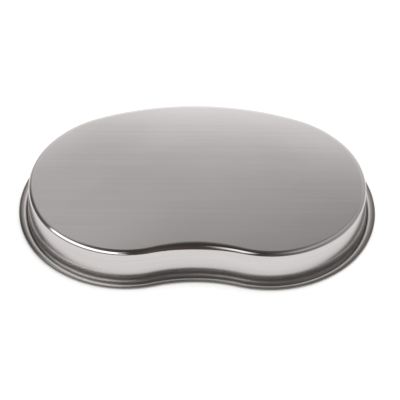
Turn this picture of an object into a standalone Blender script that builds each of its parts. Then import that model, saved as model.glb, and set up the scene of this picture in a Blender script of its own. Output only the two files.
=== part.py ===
"""Kidney dish, lying upside down on its rolled rim.

Frame: metres, +Z up, origin at the centre of the bounding box's underside.
+X runs along the dish's length, +Y towards the long convex side, and the
concave waist faces -Y.  The mouth of the bowl opens downwards, the flat base
panel is on top.

The dish is one sheet, drawn over a kidney-shaped punch, with its trimmed edge
curled round a stiffening wire.  So there are two solids: the drawn pan and the
rim wire.
"""

import math

import bmesh
import bpy

MM = 0.001

# ---------------------------------------------------------------- dimensions
SHEET = 0.6 * MM                # sheet thickness
HEIGHT = 29.0 * MM              # rim underside to outer face of the base panel

# Kidney outline, taken where the base radius runs into the wall.  One half is
# five tangent arcs; each of the first four ends at the given direction of its
# outward normal, turned from +Y towards +X.
BACK_RADIUS = 207.5 * MM        # long convex side
SHOULDER_RADIUS = 77.0 * MM
END_RADIUS = 63.5 * MM
LOBE_RADIUS = 76.0 * MM         # either side of the waist
BACK_TO = math.radians(21.1)
SHOULDER_TO = math.radians(52.8)
END_TO = math.radians(142.8)
LOBE_TO = math.radians(194.5)   # past straight back, so the waist is concave

# Wall section
BASE_RADIUS = 3.8 * MM          # outer radius between panel and wall
WAIST_SOFTENING = 1.6 * MM      # more of that radius in the hollow of the waist
WAIST_REACH = 24.0 * MM         # how far along X the softening fades
WALL_DRAFT = math.radians(6.2)  # the wall opens towards the rim
FILLET_RADIUS = 2.4 * MM        # visible radius between wall and flange

# Rim: the flange's edge rolled up and over a wire.  The roll is round along
# the long sides and flattened to a wider one round the ends.
RIM_REACH = 8.87 * MM           # outline to the rim's outermost line
ROLL_HALF_HEIGHT = 1.5 * MM
ROLL_HALF_WIDTH = 1.5 * MM      # where the rim faces along Y
ROLL_WIDENING = 1.3 * MM        # added where it faces along X
ROLL_END = math.radians(202.0)  # where the trimmed edge stops, from outwards
ROLL_END_OPENING = math.radians(34.0)   # less than that, round the ends
WIRE_RADIUS = 0.58 * MM
WIRE_BUTT_GAP = 0.6 * MM        # between the wire's ends, at the back

# Facets
ARC_STEPS = (9, 6, 14, 9, 4)    # back, shoulder, end, lobe, waist: one half
BASE_STEPS = 6
FILLET_STEPS = 5
CURL_STEPS = 12
WIRE_SIDES = 8


# ------------------------------------------------------------------- outline
def half_arcs():
    """(centre x, centre y, signed radius, normal from, normal to) of each arc
    of the +X half, with the back of the outline at y = 0."""
    arcs = []
    px, py, at = 0.0, 0.0, 0.0
    for radius, to in ((BACK_RADIUS, BACK_TO), (SHOULDER_RADIUS, SHOULDER_TO),
                       (END_RADIUS, END_TO), (LOBE_RADIUS, LOBE_TO)):
        cx, cy = px - radius * math.sin(at), py - radius * math.cos(at)
        arcs.append((cx, cy, radius, at, to))
        px, py = cx + radius * math.sin(to), cy + radius * math.cos(to)
        at = to
    # The waist arc is centred on the plane of symmetry, outside the dish.
    waist = -px / math.sin(at)
    arcs.append((0.0, py + waist * math.cos(at), -waist, at, math.pi))
    return arcs


def stations():
    """Points (x, y) of the closed outline with their outward normals, starting
    at the middle of the back and going round by way of +X."""
    half = []
    for (cx, cy, radius, a, b), steps in zip(half_arcs(), ARC_STEPS):
        for i in range(steps):
            t = a + (b - a) * i / steps
            half.append((cx + radius * math.sin(t), cy + radius * math.cos(t),
                         math.sin(t), math.cos(t)))
    cx, cy, radius, a, b = half_arcs()[-1]
    half.append((0.0, cy + radius * math.cos(b), 0.0, -1.0))
    mirrored = [(-x, y, -nx, ny) for x, y, nx, ny in half[-2:0:-1]]
    return half + mirrored


# ------------------------------------------------------------------- section
# Offsets are measured along the outline's outward normal from the outline
# itself, heights from the surface that the rim rests on.
def wall_foot():
    """Offset and height of the fillet's centre; the wall's line passes through
    the outline at WALL_TOP."""
    fillet_z = SHEET + FILLET_RADIUS
    foot_z = fillet_z - FILLET_RADIUS * math.sin(WALL_DRAFT)
    return ((WALL_TOP - foot_z) * math.tan(WALL_DRAFT)
            + FILLET_RADIUS * math.cos(WALL_DRAFT), fillet_z)


WALL_TOP = HEIGHT - BASE_RADIUS + BASE_RADIUS * math.sin(WALL_DRAFT)


def base_round(station):
    """Radius and centre of the round between panel and wall."""
    x, _, _, ny = station
    waist = math.exp(-(x / WAIST_REACH) ** 2) if ny < 0 else 0.0
    radius = BASE_RADIUS + WAIST_SOFTENING * waist
    offset = (-radius - (HEIGHT - radius - WALL_TOP) * math.sin(WALL_DRAFT)
              ) / math.cos(WALL_DRAFT)
    return radius, (offset, HEIGHT - radius)


def roll_shape(station):
    """Half width, centre and end angle of the rolled edge."""
    facing_end = station[2] ** 2
    half = ROLL_HALF_WIDTH + ROLL_WIDENING * facing_end
    return (half, (RIM_REACH - half, ROLL_HALF_HEIGHT),
            ROLL_END - ROLL_END_OPENING * facing_end)


def arc(centre, across, up, a, b, steps):
    return [(centre[0] + across * math.cos(a + (b - a) * i / steps),
             centre[1] + up * math.sin(a + (b - a) * i / steps))
            for i in range(steps + 1)]


def sheet_section(station):
    """Closed loop of (offset, height) round the sheet's cut section, from the
    panel's edge on the outer face, out to the roll's trimmed edge, and back
    along the face that lines the bowl."""
    quarter = math.pi / 2
    radius, base = base_round(station)
    fillet = wall_foot()
    half, roll, stop = roll_shape(station)
    high = ROLL_HALF_HEIGHT
    loops = []
    for inside in (0.0, SHEET):
        line = arc(base, radius - inside, radius - inside, quarter,
                   WALL_DRAFT, BASE_STEPS)
        line += arc(fillet, FILLET_RADIUS + inside, FILLET_RADIUS + inside,
                    math.pi + WALL_DRAFT, 3 * quarter, FILLET_STEPS)
        back = SHEET - inside
        line += arc(roll, half - back, high - back, -quarter, stop, CURL_STEPS)
        loops.append(line)
    return loops[0] + loops[1][::-1]


def wire_section(station):
    roll = roll_shape(station)[1]
    return arc(roll, WIRE_RADIUS, WIRE_RADIUS, 0.0, 2 * math.pi,
               WIRE_SIDES)[:-1]


# -------------------------------------------------------------------- meshes
def placed(station, point, middle_y):
    x, y, nx, ny = station
    return (x + nx * point[0], y + ny * point[0] - middle_y, point[1])


def middle():
    """y of the middle of the rim's extent along Y."""
    ys = [y + ny * RIM_REACH for _, y, _, ny in stations()]
    return (max(ys) + min(ys)) / 2


def finish(name, mesh_data, material, smooth_over):
    """One object from a bmesh: faces turned outward, rounds shaded smooth."""
    bmesh.ops.recalc_face_normals(mesh_data, faces=mesh_data.faces[:])
    for face in mesh_data.faces:
        face.smooth = True
    for edge in mesh_data.edges:
        edge.smooth = (len(edge.link_faces) == 2
                       and edge.calc_face_angle(math.pi) < smooth_over)
    mesh = bpy.data.meshes.new(name)
    mesh_data.to_mesh(mesh)
    mesh_data.free()
    mesh.materials.append(material)
    made = bpy.data.objects.new(name, mesh)
    bpy.context.scene.collection.objects.link(made)
    return made


def drawn_pan(middle_y, material):
    """The whole drawn sheet: base panel, base radius, wall, fillet, flange and
    rolled rim."""
    work = bmesh.new()
    around = stations()
    sections = [sheet_section(s) for s in around]
    rings = [[work.verts.new(placed(s, section[k], middle_y))
              for s, section in zip(around, sections)]
             for k in range(len(sections[0]))]
    count = len(around)
    for a, b in zip(rings, rings[1:]):
        for i in range(count):
            j = (i + 1) % count
            work.faces.new((a[i], a[j], b[j], b[i]))
    # The two rings that edge the flat panel are filled, outside and inside.
    work.faces.new(rings[0])
    work.faces.new(rings[-1])
    return finish("drawn_pan", work, material, math.radians(40))


def rim_wire(middle_y, material):
    """Round wire bent to the rim and lying in its curl; its two ends butt at
    the middle of the back."""
    work = bmesh.new()
    around = stations()
    x0, y0 = WIRE_BUTT_GAP / 2, around[0][1]
    around = ([(x0, y0, 0.0, 1.0)] + around[1:] + [(-x0, y0, 0.0, 1.0)])
    rings = [[work.verts.new(placed(s, p, middle_y)) for p in wire_section(s)]
             for s in around]
    for a, b in zip(rings, rings[1:]):
        for i in range(WIRE_SIDES):
            j = (i + 1) % WIRE_SIDES
            work.faces.new((a[i], a[j], b[j], b[i]))
    work.faces.new(rings[0])
    work.faces.new(rings[-1])
    return finish("rim_wire", work, material, math.radians(60))


def steel(name, colour, roughness):
    material = bpy.data.materials.new(name)
    material.use_nodes = True
    shader = material.node_tree.nodes["Principled BSDF"]
    shader.inputs["Base Color"].default_value = (*colour, 1.0)
    shader.inputs["Metallic"].default_value = 1.0
    shader.inputs["Roughness"].default_value = roughness
    return material


def main():
    for item in list(bpy.data.objects):
        bpy.data.objects.remove(item, do_unlink=True)
    middle_y = middle()
    drawn_pan(middle_y, steel("pan_steel", (0.62, 0.61, 0.60), 0.28))
    rim_wire(middle_y, steel("wire_steel", (0.50, 0.50, 0.50), 0.45))


main()
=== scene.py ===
"""Looks for the kidney dish: a fine continuous sheet for the drawn pan, a fine
wire for the rim, brushed and polished steel, and a plain pale studio.

Metres, +Z up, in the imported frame: the dish lies upside down on its rim, with
its long side towards +Y and the waist towards -Y.
"""

import math

import bmesh
import bpy
from mathutils import Matrix, Vector


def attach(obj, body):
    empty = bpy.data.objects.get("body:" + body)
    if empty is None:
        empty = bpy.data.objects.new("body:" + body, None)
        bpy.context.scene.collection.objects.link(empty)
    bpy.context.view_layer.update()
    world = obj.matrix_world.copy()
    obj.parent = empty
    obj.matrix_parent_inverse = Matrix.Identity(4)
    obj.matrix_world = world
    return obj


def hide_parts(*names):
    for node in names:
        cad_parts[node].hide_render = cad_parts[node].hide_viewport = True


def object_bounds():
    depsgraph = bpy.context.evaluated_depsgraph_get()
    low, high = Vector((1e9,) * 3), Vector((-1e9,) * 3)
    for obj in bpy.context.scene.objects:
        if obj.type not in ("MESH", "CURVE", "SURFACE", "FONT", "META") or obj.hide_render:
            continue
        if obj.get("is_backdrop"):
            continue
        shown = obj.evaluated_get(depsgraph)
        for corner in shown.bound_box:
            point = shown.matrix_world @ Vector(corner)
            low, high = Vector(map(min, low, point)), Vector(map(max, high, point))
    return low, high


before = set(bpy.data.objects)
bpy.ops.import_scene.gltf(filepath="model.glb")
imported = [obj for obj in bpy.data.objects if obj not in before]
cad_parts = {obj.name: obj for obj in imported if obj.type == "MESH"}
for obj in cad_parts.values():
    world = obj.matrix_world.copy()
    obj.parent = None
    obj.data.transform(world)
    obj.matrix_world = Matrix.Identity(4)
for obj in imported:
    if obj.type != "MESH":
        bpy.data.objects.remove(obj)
cad_low, cad_high = (list(v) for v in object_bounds())

MM = 0.001

# ------------------------------------------------------------ the drawn sheet
# The same section and outline as the CAD part, in finer steps.
SHEET = 0.6 * MM
HEIGHT = 29.0 * MM
OUTLINE = (                     # radius, end direction of the outward normal
    (207.5 * MM, math.radians(21.1)),      # long convex side
    (77.0 * MM, math.radians(52.8)),       # shoulder
    (63.5 * MM, math.radians(142.8)),      # end
    (76.0 * MM, math.radians(194.5)),      # lobe beside the waist
)
BASE_RADIUS = 3.8 * MM
WAIST_SOFTENING = 1.6 * MM
WAIST_REACH = 24.0 * MM
WALL_DRAFT = math.radians(6.2)
FILLET_RADIUS = 2.4 * MM
RIM_REACH = 8.87 * MM
ROLL_HALF_HEIGHT = 1.5 * MM
ROLL_HALF_WIDTH = 1.5 * MM
ROLL_WIDENING = 1.3 * MM
ROLL_END = math.radians(202.0)
ROLL_END_OPENING = math.radians(34.0)
WIRE_RADIUS = 0.58 * MM
WIRE_BUTT_GAP = 0.6 * MM

ARC_STEPS = (54, 34, 84, 56, 24)
ROLL_STEPS = 48
QUARTER = math.pi / 2


def half_arcs():
    arcs = []
    px, py, at = 0.0, 0.0, 0.0
    for radius, to in OUTLINE:
        cx, cy = px - radius * math.sin(at), py - radius * math.cos(at)
        arcs.append((cx, cy, radius, at, to))
        px, py = cx + radius * math.sin(to), cy + radius * math.cos(to)
        at = to
    waist = -px / math.sin(at)
    arcs.append((0.0, py + waist * math.cos(at), -waist, at, math.pi))
    return arcs


def stations():
    """(x, y, normal x, normal y) round the outline, from the middle of the
    back by way of +X."""
    half = []
    for (cx, cy, radius, a, b), steps in zip(half_arcs(), ARC_STEPS):
        for i in range(steps):
            t = a + (b - a) * i / steps
            half.append((cx + radius * math.sin(t), cy + radius * math.cos(t),
                         math.sin(t), math.cos(t)))
    cx, cy, radius, a, b = half_arcs()[-1]
    half.append((0.0, cy + radius * math.cos(b), 0.0, -1.0))
    return half + [(-x, y, -nx, ny) for x, y, nx, ny in half[-2:0:-1]]


WALL_TOP = HEIGHT - BASE_RADIUS + BASE_RADIUS * math.sin(WALL_DRAFT)
FILLET_Z = SHEET + FILLET_RADIUS
FILLET = ((WALL_TOP - FILLET_Z + FILLET_RADIUS * math.sin(WALL_DRAFT))
          * math.tan(WALL_DRAFT) + FILLET_RADIUS * math.cos(WALL_DRAFT), FILLET_Z)


def base_round(station):
    """Radius and centre of the round between panel and wall."""
    x, _, _, ny = station
    waist = math.exp(-(x / WAIST_REACH) ** 2) if ny < 0 else 0.0
    radius = BASE_RADIUS + WAIST_SOFTENING * waist
    offset = (-radius - (HEIGHT - radius - WALL_TOP) * math.sin(WALL_DRAFT)
              ) / math.cos(WALL_DRAFT)
    return radius, (offset, HEIGHT - radius)


def roll_shape(station):
    """Half width, centre and end angle of the rolled edge."""
    facing_end = station[2] ** 2
    half = ROLL_HALF_WIDTH + ROLL_WIDENING * facing_end
    return (half, (RIM_REACH - half, ROLL_HALF_HEIGHT),
            ROLL_END - ROLL_END_OPENING * facing_end)


def arc(centre, across, up, a, b, steps, facing):
    """(offset, height, normal offset, normal height); facing is +1 where the
    surface looks away from the centre and -1 where it looks towards it."""
    made = []
    for i in range(steps + 1):
        t = a + (b - a) * i / steps
        made.append((centre[0] + across * math.cos(t),
                     centre[1] + up * math.sin(t),
                     facing * math.cos(t) / across, facing * math.sin(t) / up))
    return made


def straight(a, b, steps):
    """Points strictly between two section points with the same normal."""
    return [tuple(a[k] + (b[k] - a[k]) * i / steps for k in range(2)) + a[2:]
            for i in range(1, steps)]


def sheet_section(station):
    """Section points from the panel's edge on the outer face, out to the
    roll's rounded trimmed edge, and back along the face that lines the bowl."""
    radius, base = base_round(station)
    half, roll, stop = roll_shape(station)

    def face(outer):
        way = 1 if outer else -1
        inside = 0.0 if outer else SHEET
        back = SHEET if outer else 0.0
        top = arc(base, radius - inside, radius - inside, QUARTER, WALL_DRAFT,
                  22 if outer else 14, way)
        foot = arc(FILLET, FILLET_RADIUS + inside, FILLET_RADIUS + inside,
                   math.pi + WALL_DRAFT, 3 * QUARTER, 16 if outer else 10, -way)
        over = arc(roll, half - back, ROLL_HALF_HEIGHT - back, -QUARTER, stop,
                   24 if outer else ROLL_STEPS, -way)
        return (top + straight(top[-1], foot[0], 8) + foot
                + straight(foot[-1], over[0], 3) + over)

    outside, lining = face(True), face(False)
    # The trimmed edge is rounded over, from the inner face of the roll to its
    # outer face.
    a, b = outside[-1], lining[-1]
    mid = ((a[0] + b[0]) / 2, (a[1] + b[1]) / 2)
    thick = math.hypot(a[0] - b[0], a[1] - b[1])
    inward = ((a[0] - b[0]) / thick, (a[1] - b[1]) / thick)
    along = (inward[1], -inward[0])
    nose = []
    for i in range(1, 6):
        t = math.pi * i / 6
        no = inward[0] * math.cos(t) + along[0] * math.sin(t) * 0.8
        nz = inward[1] * math.cos(t) + along[1] * math.sin(t) * 0.8
        nose.append((mid[0] + no * thick / 2, mid[1] + nz * thick / 2, no, nz))
    return outside, nose, lining[::-1]


def middle():
    ys = [y + ny * RIM_REACH for _, y, _, ny in stations()]
    return (max(ys) + min(ys)) / 2


def smoothstep(a, b, v):
    t = min(1.0, max(0.0, (v - a) / (b - a)))
    return t * t * (3 - 2 * t)


def drawn_pan():
    """One closed skin. The colour attribute finish holds: R, how much of the
    panel's brushing is there; G, how much of the wall's satin; B, painted shade,
    how much darker the foot of the rim, the roll's inner flank and the bottom of
    the fillet's crease are drawn; A, how much of the matt of the roll and flange.
    The colour attribute wear holds painted light: a painted highlight along the
    roll's crest, and the fillet and lowest wall drawn lighter just above the crease."""
    around = stations()
    count = len(around)
    middle_y = middle()
    columns = []
    for station in around:
        outside, nose, lining = sheet_section(station)
        edge = base_round(station)[1][0]
        # Three more rings inside the panel's edge carry the end of the
        # brushing.
        columns.append(
            [(edge - d * MM, HEIGHT, 0.0, 1.0) for d in (2.4, 1.2, 0.5)]
            + outside + nose + lining
            + [(edge - d * MM, HEIGHT - SHEET, 0.0, -1.0)
               for d in (0.5, 1.2, 2.4)])
    rows = len(columns[0])
    first = 3 + len(outside)
    roll_rows = range(first, first + len(nose) + ROLL_STEPS + 1)
    verts, normals, finish_and_foot_shade, painted_light = [], [], [], []
    for k in range(rows):
        flat = k < 3 or k >= rows - 3
        for (x, y, nx, ny), column in zip(around, columns):
            o, z, no, nz = column[k]
            length = math.hypot(no, nz)
            no, nz = no / length, nz / length
            verts.append((x + nx * o, y + ny * o - middle_y, z))
            normals.append((nx * no, ny * no, nz))
            brushed = (1.0 if flat else
                       smoothstep(0.965, 1.0, abs(nz)) * (z > 0.02))
            upright = smoothstep(0.55, 0.97, abs(no)) * (0.003 < z < 0.0275)
            foot, light_paint = 0.0, 0.0
            matt = 1.0 - smoothstep(0.0015, 0.0045, z)
            # On the roll, painted shade darkens the outer foot and the inner flank, and a
            # painted highlight brightens a line along the crest.
            if k in roll_rows:
                facing_end = nx * nx
                half = ROLL_HALF_WIDTH + ROLL_WIDENING * facing_end
                across = (RIM_REACH - o) / half
                crest = 0.75 + 0.80 * facing_end
                foot = 1.0 - smoothstep(0.18 + 0.25 * facing_end,
                                        0.50 + 1.10 * facing_end, across)
                foot = max(foot, smoothstep(crest + 0.20, crest + 0.40, across))
                matt = 0.75
                light_paint = (smoothstep(crest - 0.32, crest - 0.08, across)
                        * (1.0 - smoothstep(crest + 0.06, crest + 0.26, across))
                        * (z > ROLL_HALF_HEIGHT))
            # Painted shade darkens the bottom of the fillet's crease, and painted light
            # lightens the fillet just above it.
            elif k < first:
                foot = 0.80 - 0.80 * smoothstep(0.0008, 0.0019, z)
                light_paint = (0.42 * smoothstep(0.0012, 0.0024, z)
                        * (1.0 - smoothstep(0.0045, 0.0085, z)))
            finish_and_foot_shade.append((brushed, upright, foot, matt))
            painted_light.append((light_paint, light_paint, light_paint, 1.0))
    faces = []
    for k in range(rows - 1):
        for i in range(count):
            j = (i + 1) % count
            a, b = k * count, (k + 1) * count
            faces.append((a + i, a + j, b + j, b + i))
    faces.append(tuple(range(count - 1, -1, -1)))
    last = (rows - 1) * count
    faces.append(tuple(last + i for i in range(count)))
    mesh = bpy.data.meshes.new("drawn_pan_sheet")
    mesh.from_pydata(verts, [], faces)
    mesh.validate()
    mesh.update()
    for polygon in mesh.polygons:
        polygon.use_smooth = True
    mesh.normals_split_custom_set_from_vertices(normals)
    for name, values in (("finish_and_foot_shade", finish_and_foot_shade), ("painted_light", painted_light)):
        colour = mesh.color_attributes.new(name, "FLOAT_COLOR", "POINT")
        for i, value in enumerate(values):
            colour.data[i].color = value
    made = bpy.data.objects.new("drawn_pan_sheet", mesh)
    bpy.context.scene.collection.objects.link(made)
    return made


def rim_wire():
    """The wire in the roll, with slightly domed ends that butt at the back."""
    around = stations()
    middle_y = middle()
    sides = 20
    path = []
    for station in around:
        x, y, nx, ny = station
        o = roll_shape(station)[1][0]
        path.append((x + nx * o, y + ny * o - middle_y, nx, ny))
    back_y = path[0][1]
    path = ([(WIRE_BUTT_GAP / 2, back_y, 0.0, 1.0)] + path[1:]
            + [(-WIRE_BUTT_GAP / 2, back_y, 0.0, 1.0)])
    verts = []

    def ring(x, y, nx, ny, radius):
        for i in range(sides):
            t = 2 * math.pi * i / sides
            c, s = math.cos(t), math.sin(t)
            verts.append((x + nx * c * radius, y + ny * c * radius,
                          ROLL_HALF_HEIGHT + s * radius))

    x, y, nx, ny = path[0]
    ring(x - 0.10 * MM, y, nx, ny, WIRE_RADIUS * 0.86)
    for x, y, nx, ny in path:
        ring(x, y, nx, ny, WIRE_RADIUS)
    ring(x + 0.10 * MM, y, nx, ny, WIRE_RADIUS * 0.86)
    faces = []
    total = len(verts) // sides
    for k in range(total - 1):
        for i in range(sides):
            j = (i + 1) % sides
            a, b = k * sides, (k + 1) * sides
            faces.append((a + i, a + j, b + j, b + i))
    faces.append(tuple(range(sides - 1, -1, -1)))
    faces.append(tuple((total - 1) * sides + i for i in range(sides)))
    work = bmesh.new()
    mesh = bpy.data.meshes.new("rim_wire_drawn")
    mesh.from_pydata(verts, [], faces)
    mesh.update()
    work.from_mesh(mesh)
    bmesh.ops.recalc_face_normals(work, faces=work.faces[:])
    for face in work.faces:
        face.smooth = len(face.verts) == 4
    work.to_mesh(mesh)
    work.free()
    made = bpy.data.objects.new("rim_wire_drawn", mesh)
    bpy.context.scene.collection.objects.link(made)
    return made


# --------------------------------------------------------------------- nodes
class Graph:
    """Small helper to write node trees as expressions."""

    def __init__(self, tree):
        self.tree = tree

    def node(self, kind, **settings):
        made = self.tree.nodes.new(kind)
        for key, value in settings.items():
            setattr(made, key, value)
        return made

    def feed(self, socket, value):
        if hasattr(value, "is_linked"):
            self.tree.links.new(value, socket)
        else:
            socket.default_value = value

    def math(self, operation, *values, clamp=False):
        made = self.node("ShaderNodeMath", operation=operation, use_clamp=clamp)
        for i, value in enumerate(values):
            self.feed(made.inputs[i], value)
        return made.outputs[0]

    def vector(self, operation, *values):
        made = self.node("ShaderNodeVectorMath", operation=operation)
        for i, value in enumerate(values):
            self.feed(made.inputs[i], value)
        return made.outputs["Value" if operation in ("DOT_PRODUCT", "LENGTH")
                            else "Vector"]

    def ramp(self, value, low, high, to_low=0.0, to_high=1.0, smooth=True):
        made = self.node("ShaderNodeMapRange", clamp=True,
                         interpolation_type="SMOOTHSTEP" if smooth else "LINEAR")
        self.feed(made.inputs["Value"], value)
        made.inputs["From Min"].default_value = low
        made.inputs["From Max"].default_value = high
        made.inputs["To Min"].default_value = to_low
        made.inputs["To Max"].default_value = to_high
        return made.outputs["Result"]

    def noise(self, position, scale, detail=2.0, rough=0.5, seed=0.0):
        """3-D noise stretched by a scale per axis, 0 to 1."""
        placed = self.vector("MULTIPLY", position, scale)
        if seed:
            placed = self.vector("ADD", placed, (seed, seed * 1.7, seed * 2.3))
        made = self.node("ShaderNodeTexNoise", noise_dimensions="3D",
                         normalize=True)
        self.feed(made.inputs["Vector"], placed)
        made.inputs["Scale"].default_value = 1.0
        made.inputs["Detail"].default_value = detail
        made.inputs["Roughness"].default_value = rough
        return made.outputs["Fac"]

    def mix(self, factor, a, b):
        made = self.node("ShaderNodeMix", data_type="FLOAT")
        for socket, value in zip(made.inputs[:4], (factor, None, a, b)):
            if value is not None:
                self.feed(socket, value)
        return made.outputs[0]

    def mix_colour(self, factor, a, b, blend="MIX"):
        made = self.node("ShaderNodeMix", data_type="RGBA", blend_type=blend)
        self.feed(made.inputs["Factor"], factor)
        for name, value in (("A", a), ("B", b)):
            socket = [s for s in made.inputs
                      if s.name == name and s.type == "RGBA"][0]
            self.feed(socket, value)
        return [s for s in made.outputs if s.type == "RGBA"][0]


def fresh_material(name):
    material = bpy.data.materials.new(name)
    material.use_nodes = True
    tree = material.node_tree
    tree.nodes.clear()
    graph = Graph(tree)
    shader = graph.node("ShaderNodeBsdfPrincipled")
    output = graph.node("ShaderNodeOutputMaterial")
    tree.links.new(shader.outputs["BSDF"], output.inputs["Surface"])
    return material, graph, shader


def pan_steel():
    material, g, shader = fresh_material("pan_steel_brushed")
    place = g.node("ShaderNodeTexCoord").outputs["Object"]
    finish_and_foot_shade = g.node("ShaderNodeVertexColor", layer_name="finish_and_foot_shade")
    parts = g.node("ShaderNodeSeparateColor")
    g.feed(parts.inputs[0], finish_and_foot_shade.outputs["Color"])
    brushed, wall = parts.outputs["Red"], parts.outputs["Green"]
    foot_shade, matt = parts.outputs["Blue"], finish_and_foot_shade.outputs["Alpha"]
    light_paint = g.node("ShaderNodeVertexColor", layer_name="painted_light").outputs["Color"]

    # Brushing along X on the panel: hair-fine lines in broader bands.
    hair = g.noise(place, (6.0, 3400.0, 900.0), 2.0, 0.6, 3.1)
    band = g.noise(place, (3.5, 560.0, 300.0), 2.0, 0.55, 7.7)
    wide = g.noise(place, (2.0, 110.0, 60.0), 1.0, 0.5, 1.3)
    lines = g.math("ADD", g.math("MULTIPLY", hair, 0.45),
                   g.math("ADD", g.math("MULTIPLY", band, 0.35),
                          g.math("MULTIPLY", wide, 0.20)))
    # Draw lines and polish round the wall: fine and level.
    level = g.noise(place, (11.0, 11.0, 1500.0), 2.0, 0.55, 5.2)
    level_wide = g.noise(place, (9.0, 9.0, 230.0), 1.0, 0.5, 9.4)
    rings = g.math("ADD", g.math("MULTIPLY", level, 0.55),
                   g.math("MULTIPLY", level_wide, 0.45))
    # Handling: cloudy smears and a little unevenness in the polish.
    cloud = g.noise(place, (26.0, 34.0, 30.0), 3.0, 0.55, 2.2)
    smear = g.noise(place, (60.0, 170.0, 90.0), 4.0, 0.6, 4.6)

    grain = g.mix(brushed, rings, lines)
    around_half = g.math("SUBTRACT", grain, 0.5)
    satin = g.mix(matt, g.mix(wall, 0.065, 0.150), 0.50)
    base_rough = g.mix(brushed, satin, 0.165)
    rough = g.math("ADD", base_rough,
                   g.math("MULTIPLY", around_half, g.mix(brushed, 0.05, 0.08)))
    rough = g.math("ADD", rough,
                   g.math("MULTIPLY", g.math("SUBTRACT", cloud, 0.5), 0.05))
    rough = g.math("ADD", rough,
                   g.math("MULTIPLY", g.ramp(smear, 0.56, 0.78), 0.035))
    rough = g.mix(light_paint, rough, 0.50)
    g.feed(shader.inputs["Roughness"], rough)

    tone = g.math("ADD", g.math("MULTIPLY", around_half,
                                g.mix(brushed, 0.22, 0.20)),
                  g.math("ADD", 1.0,
                         g.math("MULTIPLY", g.math("SUBTRACT", cloud, 0.5),
                                0.05)))
    steel = g.mix_colour(g.ramp(cloud, 0.3, 0.7),
                         (0.648, 0.624, 0.616, 1.0), (0.662, 0.628, 0.624, 1.0))
    # The foot of the rim, the roll's inner flank and the fillet's crease are drawn darker:
    # painted shade, standing in for the shade and dark reflection there.
    steel = g.mix_colour(foot_shade, steel, (0.24, 0.22, 0.21, 1.0))
    # Painted highlight: the roll's crest, and the fillet and lowest wall above the crease,
    # are drawn near white.
    steel = g.mix_colour(light_paint, steel, (0.94, 0.92, 0.90, 1.0))
    grey = g.node("ShaderNodeCombineColor")
    for i in range(3):
        g.feed(grey.inputs[i], tone)
    g.feed(shader.inputs["Base Color"],
           g.mix_colour(1.0, steel, grey.outputs[0], "MULTIPLY"))
    # Less metal where the highlight is painted, so the pale colour there scatters the
    # light as a white surface does: part of the painted highlight.
    g.feed(shader.inputs["Metallic"], g.ramp(light_paint, 0.5, 0.9, 1.0, 0.84))

    # The grain spreads reflections across itself: along Y on the panel, up
    # and down on the wall.
    lie = g.node("ShaderNodeMix", data_type="VECTOR")
    g.feed(lie.inputs["Factor"], brushed)
    vectors = [s for s in lie.inputs if s.type == "VECTOR" and s.name in "AB"]
    vectors[0].default_value = (0.0, 0.0, 1.0)
    vectors[1].default_value = (0.0, 1.0, 0.0)
    g.feed(shader.inputs["Tangent"],
           [s for s in lie.outputs if s.type == "VECTOR"][0])
    g.feed(shader.inputs["Anisotropic"], g.mix(brushed, 0.35, 0.65))

    # Scratches of the brushing, and the slight unevenness of a pressing.
    fine = g.node("ShaderNodeBump")
    fine.inputs["Strength"].default_value = 0.35
    fine.inputs["Distance"].default_value = 0.000012
    g.feed(fine.inputs["Height"], grain)
    swell = g.noise(place, (13.0, 17.0, 24.0), 1.0, 0.4, 8.8)
    soft = g.node("ShaderNodeBump")
    soft.inputs["Strength"].default_value = 1.0
    soft.inputs["Distance"].default_value = 0.00022
    g.feed(soft.inputs["Height"], swell)
    g.feed(soft.inputs["Normal"], fine.outputs["Normal"])
    g.feed(shader.inputs["Normal"], soft.outputs["Normal"])
    return material


def wire_steel():
    material, g, shader = fresh_material("wire_steel_drawn")
    place = g.node("ShaderNodeTexCoord").outputs["Object"]
    streak = g.noise(place, (40.0, 40.0, 2600.0), 2.0, 0.6, 1.9)
    blotch = g.noise(place, (180.0, 180.0, 180.0), 3.0, 0.6, 6.1)
    g.feed(shader.inputs["Roughness"],
           g.math("ADD", 0.36, g.math("MULTIPLY", blotch, 0.18)))
    g.feed(shader.inputs["Base Color"],
           g.mix_colour(streak, (0.42, 0.41, 0.40, 1.0),
                        (0.55, 0.54, 0.53, 1.0)))
    shader.inputs["Metallic"].default_value = 1.0
    bump = g.node("ShaderNodeBump")
    bump.inputs["Strength"].default_value = 0.5
    bump.inputs["Distance"].default_value = 0.00002
    g.feed(bump.inputs["Height"], streak)
    g.feed(shader.inputs["Normal"], bump.outputs["Normal"])
    return material


# -------------------------------------------------------------------- pieces
def keep_inside(made):
    """Finer steps bulge some hundredths of a millimetre past the CAD part's
    facets; draw the mesh in by that much."""
    for axis in (0, 1):
        reach = max(abs(v.co[axis]) for v in made.data.vertices)
        allowed = min(-cad_low[axis], cad_high[axis]) - 1e-6
        shrink = allowed / reach if made.name == "drawn_pan_sheet" else SHRINK[axis]
        SHRINK[axis] = shrink
        for v in made.data.vertices:
            v.co[axis] *= shrink


SHRINK = [1.0, 1.0]
pan = drawn_pan()
keep_inside(pan)
pan.data.materials.append(pan_steel())
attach(pan, "root")
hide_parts("drawn_pan")

wire = rim_wire()
keep_inside(wire)
wire.data.materials.append(wire_steel())
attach(wire, "root")
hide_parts("rim_wire")


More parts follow.
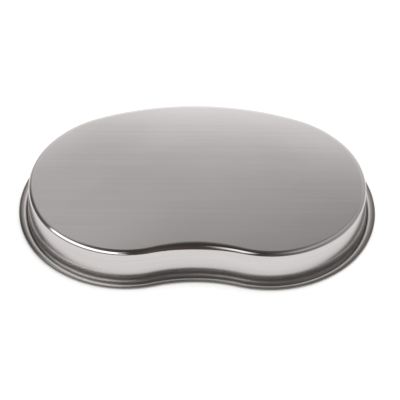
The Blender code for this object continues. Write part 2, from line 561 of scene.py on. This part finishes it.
# -------------------------------------------------------------------- studio
def studio_floor():
    work = bmesh.new()
    bmesh.ops.create_grid(work, x_segments=4, y_segments=4, size=4.0)
    mesh = bpy.data.meshes.new("studio_floor")
    work.to_mesh(mesh)
    work.free()
    floor = bpy.data.objects.new("studio_floor", mesh)
    floor.location = (0.0, 0.0, -0.0002)
    bpy.context.scene.collection.objects.link(floor)
    material, g, shader = fresh_material("studio_paper")
    shader.inputs["Base Color"].default_value = (0.86, 0.86, 0.855, 1.0)
    shader.inputs["Roughness"].default_value = 0.9
    shader.inputs["Specular IOR Level"].default_value = 0.1
    mesh.materials.append(material)
    floor.visible_glossy = False
    floor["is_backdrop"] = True


# What the steel sees of the paper: bright further out, and darker by the rim,
# where the dish keeps the light off.  Distance from the rim in mm, glow; the
# dark reaches further out round the ends.
PAPER = ((0.0, 0.20), (1.0, 0.55), (2.5, 0.80), (6.0, 0.93), (14.0, 0.97),
         (45.0, 1.00), (150.0, 1.00))


def seen_paper():
    around = stations()
    count = len(around)
    middle_y = middle()
    verts, glows = [], []
    for distance, glow in ((-4.0, 0.02),) + PAPER:
        for x, y, nx, ny in around:
            further = 0.0 if distance < 0 else min(2.6, 0.4 + 5.0 * nx * nx)
            o = RIM_REACH + (distance + further) * MM
            verts.append((x + nx * o, y + ny * o - middle_y, -0.0001))
            glows.append((glow, glow, glow, 1.0))
    faces = []
    for k in range(len(PAPER)):
        for i in range(count):
            j = (i + 1) % count
            a, b = k * count, (k + 1) * count
            faces.append((a + i, b + i, b + j, a + j))
    faces.append(tuple(range(count - 1, -1, -1)))
    mesh = bpy.data.meshes.new("seen_paper")
    mesh.from_pydata(verts, [], faces)
    mesh.update()
    colour = mesh.color_attributes.new("glow", "FLOAT_COLOR", "POINT")
    for i, value in enumerate(glows):
        colour.data[i].color = value
    paper = bpy.data.objects.new("seen_paper", mesh)
    bpy.context.scene.collection.objects.link(paper)
    material = bpy.data.materials.new("seen_paper")
    material.use_nodes = True
    tree = material.node_tree
    tree.nodes.clear()
    g = Graph(tree)
    glow = g.node("ShaderNodeEmission")
    level = g.node("ShaderNodeVertexColor", layer_name="glow")
    g.feed(glow.inputs["Color"], level.outputs["Color"])
    output = g.node("ShaderNodeOutputMaterial")
    tree.links.new(glow.outputs[0], output.inputs["Surface"])
    mesh.materials.append(material)
    paper.visible_camera = False
    paper.visible_diffuse = False
    paper.visible_transmission = False
    paper.visible_volume_scatter = False
    paper.visible_shadow = False
    paper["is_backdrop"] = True


# The tent is a dome of diffusing cloth close round the dish, and only the
# steel sees it.  Its glow by elevation in degrees, towards the back, towards
# the camera side, to the left and to the right.
TENT_RADIUS = 0.30
TENT = (
    (-2, 1.20, 0.08, 0.25, 0.42),
    (12, 1.22, 0.07, 0.22, 0.44),
    (24, 1.26, 0.07, 0.28, 0.44),
    (34, 1.30, 0.06, 0.34, 0.38),
    (38, 1.27, 0.06, 0.36, 0.30),
    (41, 1.08, 0.06, 0.36, 0.27),
    (44, 0.77, 0.06, 0.34, 0.25),
    (48, 0.60, 0.06, 0.28, 0.25),
    (54, 0.54, 0.05, 0.20, 0.24),
    (62, 0.47, 0.05, 0.13, 0.20),
    (70, 0.33, 0.05, 0.09, 0.13),
    (78, 0.19, 0.07, 0.08, 0.10),
    (90, 0.13, 0.13, 0.13, 0.13),
)
# The camera's side of the room is warm and dim.
TENT_TINT = ((1.0, 1.0, 1.0), (1.15, 1.0, 0.90), (1.04, 1.0, 0.98),
             (1.02, 1.0, 0.99))
# Cards on the tent, each laid over the ones before: azimuth from +Y towards
# +X, elevation, half width, half height, softness of the edge as a share of
# the half size, glow.
CARDS = (
    (-88.0, 16.0, 17.0, 17.0, 0.45, 0.12),
    (-50.0, 55.0, 23.0, 12.0, 0.55, 0.57),
    (112.0, 44.0, 27.0, 11.0, 0.45, 0.50),
    (-138.5, 29.0, 29.5, 14.0, 0.10, 1.90),
)
# A gap in the tent towards the camera side, through which the steel sees a
# card that stands farther off, on a second, wider dome.
GAP = (-176.0, 42.0, 13.5, 22.0, 0.04)
FAR_RADIUS = 1.2
FAR_CARDS = (
    (-155.5, 37.0, 11.5, 14.0, 0.50, 1.45),
)


def patch(g, way, azimuth, elevation, wide, tall, soft):
    """1 inside a soft rectangle on the dome, 0 outside it."""
    a, e = math.radians(azimuth), math.radians(elevation)
    ahead = (math.sin(a) * math.cos(e), math.cos(a) * math.cos(e), math.sin(e))
    side = (math.cos(a), -math.sin(a), 0.0)
    up = (-math.sin(a) * math.sin(e), -math.cos(a) * math.sin(e), math.cos(e))
    depth = g.vector("DOT_PRODUCT", way, ahead)
    safe = g.math("MAXIMUM", depth, 0.02)

    def inside(axis, half):
        t = math.tan(math.radians(half))
        v = g.math("ABSOLUTE",
                   g.math("DIVIDE", g.vector("DOT_PRODUCT", way, axis), safe))
        return g.ramp(v, t * (1 - soft), t * (1 + soft), 1.0, 0.0)

    shape = g.math("MULTIPLY", inside(side, wide), inside(up, tall))
    return g.math("MULTIPLY", shape, g.math("GREATER_THAN", depth, 0.03))


def tent_glow(g, cards):
    place = g.node("ShaderNodeTexCoord").outputs["Object"]
    way = g.vector("NORMALIZE", place)
    parts = g.node("ShaderNodeSeparateXYZ")
    g.feed(parts.inputs[0], way)
    x, y, z = parts.outputs
    flat = g.math("MAXIMUM", 1e-4,
                  g.math("SQRT", g.math("ADD", g.math("MULTIPLY", x, x),
                                        g.math("MULTIPLY", y, y))))
    rise = g.math("MULTIPLY_ADD", g.math("ARCSINE", z), 2 / math.pi * 0.9, 0.1)

    def by_height(column):
        made = g.node("ShaderNodeValToRGB")
        made.color_ramp.interpolation = "EASE"
        elements = made.color_ramp.elements
        while len(elements) < len(TENT):
            elements.new(0.5)
        for element, row in zip(elements, TENT):
            element.position = max(0.0, min(1.0, row[0] / 90 * 0.9 + 0.1))
        for element, row in zip(elements, TENT):
            element.color = tuple(row[column] * c
                                  for c in TENT_TINT[column - 1]) + (1.0,)
        g.feed(made.inputs[0], rise)
        return made.outputs["Color"]

    def share(value):
        """How much a direction lies that way: its cosine, squared."""
        v = g.math("MAXIMUM", 0.0, g.math("DIVIDE", value, flat))
        return g.math("MULTIPLY", v, v)

    total = None
    for column, value in ((1, y), (2, g.math("MULTIPLY", y, -1.0)),
                          (3, g.math("MULTIPLY", x, -1.0)), (4, x)):
        part = g.vector("MULTIPLY", by_height(column), share(value))
        total = part if total is None else g.vector("ADD", total, part)

    for *where, glow in cards:
        total = g.mix_colour(patch(g, way, *where), total,
                             (glow, glow, glow, 1.0))
    return total


def light_tent(name, radius, cards, gap=None):
    work = bmesh.new()
    bmesh.ops.create_uvsphere(work, u_segments=96, v_segments=48,
                              radius=radius)
    below = [v for v in work.verts if v.co.z < -0.002]
    bmesh.ops.delete(work, geom=below, context="VERTS")
    for face in work.faces:
        face.normal_flip()
        face.smooth = True
    mesh = bpy.data.meshes.new(name)
    work.to_mesh(mesh)
    work.free()
    tent = bpy.data.objects.new(name, mesh)
    bpy.context.scene.collection.objects.link(tent)
    material = bpy.data.materials.new(name + "_cloth")
    material.use_nodes = True
    tree = material.node_tree
    tree.nodes.clear()
    g = Graph(tree)
    glow = g.node("ShaderNodeEmission")
    g.feed(glow.inputs["Color"], tent_glow(g, cards))
    surface = glow.outputs[0]
    if gap:
        way = g.vector("NORMALIZE",
                       g.node("ShaderNodeTexCoord").outputs["Object"])
        mix = g.node("ShaderNodeMixShader")
        g.feed(mix.inputs[0], patch(g, way, *gap))
        tree.links.new(surface, mix.inputs[1])
        tree.links.new(g.node("ShaderNodeBsdfTransparent").outputs[0],
                       mix.inputs[2])
        surface = mix.outputs[0]
    output = g.node("ShaderNodeOutputMaterial")
    tree.links.new(surface, output.inputs["Surface"])
    mesh.materials.append(material)
    tent.visible_camera = False
    tent.visible_diffuse = False
    tent.visible_transmission = False
    tent.visible_volume_scatter = False
    tent.visible_shadow = False
    tent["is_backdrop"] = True


def studio_light():
    world = bpy.data.worlds.new("studio")
    bpy.context.scene.world = world
    world.use_nodes = True
    background = world.node_tree.nodes["Background"]
    background.inputs["Color"].default_value = (1.0, 1.0, 1.0, 1.0)
    background.inputs["Strength"].default_value = 1.0
    # A broad lamp overhead whitens the paper.
    lamp = bpy.data.lights.new("overhead", "AREA")
    lamp.shape = "DISK"
    lamp.size = 1.6
    lamp.energy = FLOOR_ENERGY
    made = bpy.data.objects.new("overhead", lamp)
    made.location = (0.25, 0.35, 2.0)
    made.rotation_euler = made.location.to_track_quat("Z", "Y").to_euler()
    made.visible_glossy = False
    bpy.context.scene.collection.objects.link(made)


FLOOR_ENERGY = 20.0


# -------------------------------------------------------------------- camera
def camera():
    pitch, yaw, roll = (math.radians(v) for v in (49.881, 0.480, 0.888))
    ahead = Vector((math.sin(yaw) * math.cos(pitch),
                    math.cos(yaw) * math.cos(pitch), -math.sin(pitch)))
    right0 = Vector((math.cos(yaw), -math.sin(yaw), 0.0))
    up0 = Vector((math.sin(yaw) * math.sin(pitch),
                  math.cos(yaw) * math.sin(pitch), math.cos(pitch)))
    right = math.cos(roll) * right0 + math.sin(roll) * up0
    up = -math.sin(roll) * right0 + math.cos(roll) * up0
    lens = bpy.data.cameras.new("camera")
    lens.sensor_width = 36.0
    lens.lens = 1240.91 / 400.0 * 36.0
    lens.clip_start = 0.01
    made = bpy.data.objects.new("camera", lens)
    made.matrix_world = Matrix((
        (right.x, up.x, -ahead.x, -2.947 * MM),
        (right.y, up.y, -ahead.y, -588.59 * MM),
        (right.z, up.z, -ahead.z, 699.873 * MM),
        (0.0, 0.0, 0.0, 1.0)))
    bpy.context.scene.collection.objects.link(made)
    bpy.context.scene.camera = made


studio_floor()
seen_paper()
studio_light()
light_tent("light_tent", TENT_RADIUS, CARDS, GAP)
light_tent("far_tent", FAR_RADIUS, FAR_CARDS)
camera()
bpy.context.scene.view_settings.view_transform = "Standard"
bpy.context.scene.view_settings.look = "None"
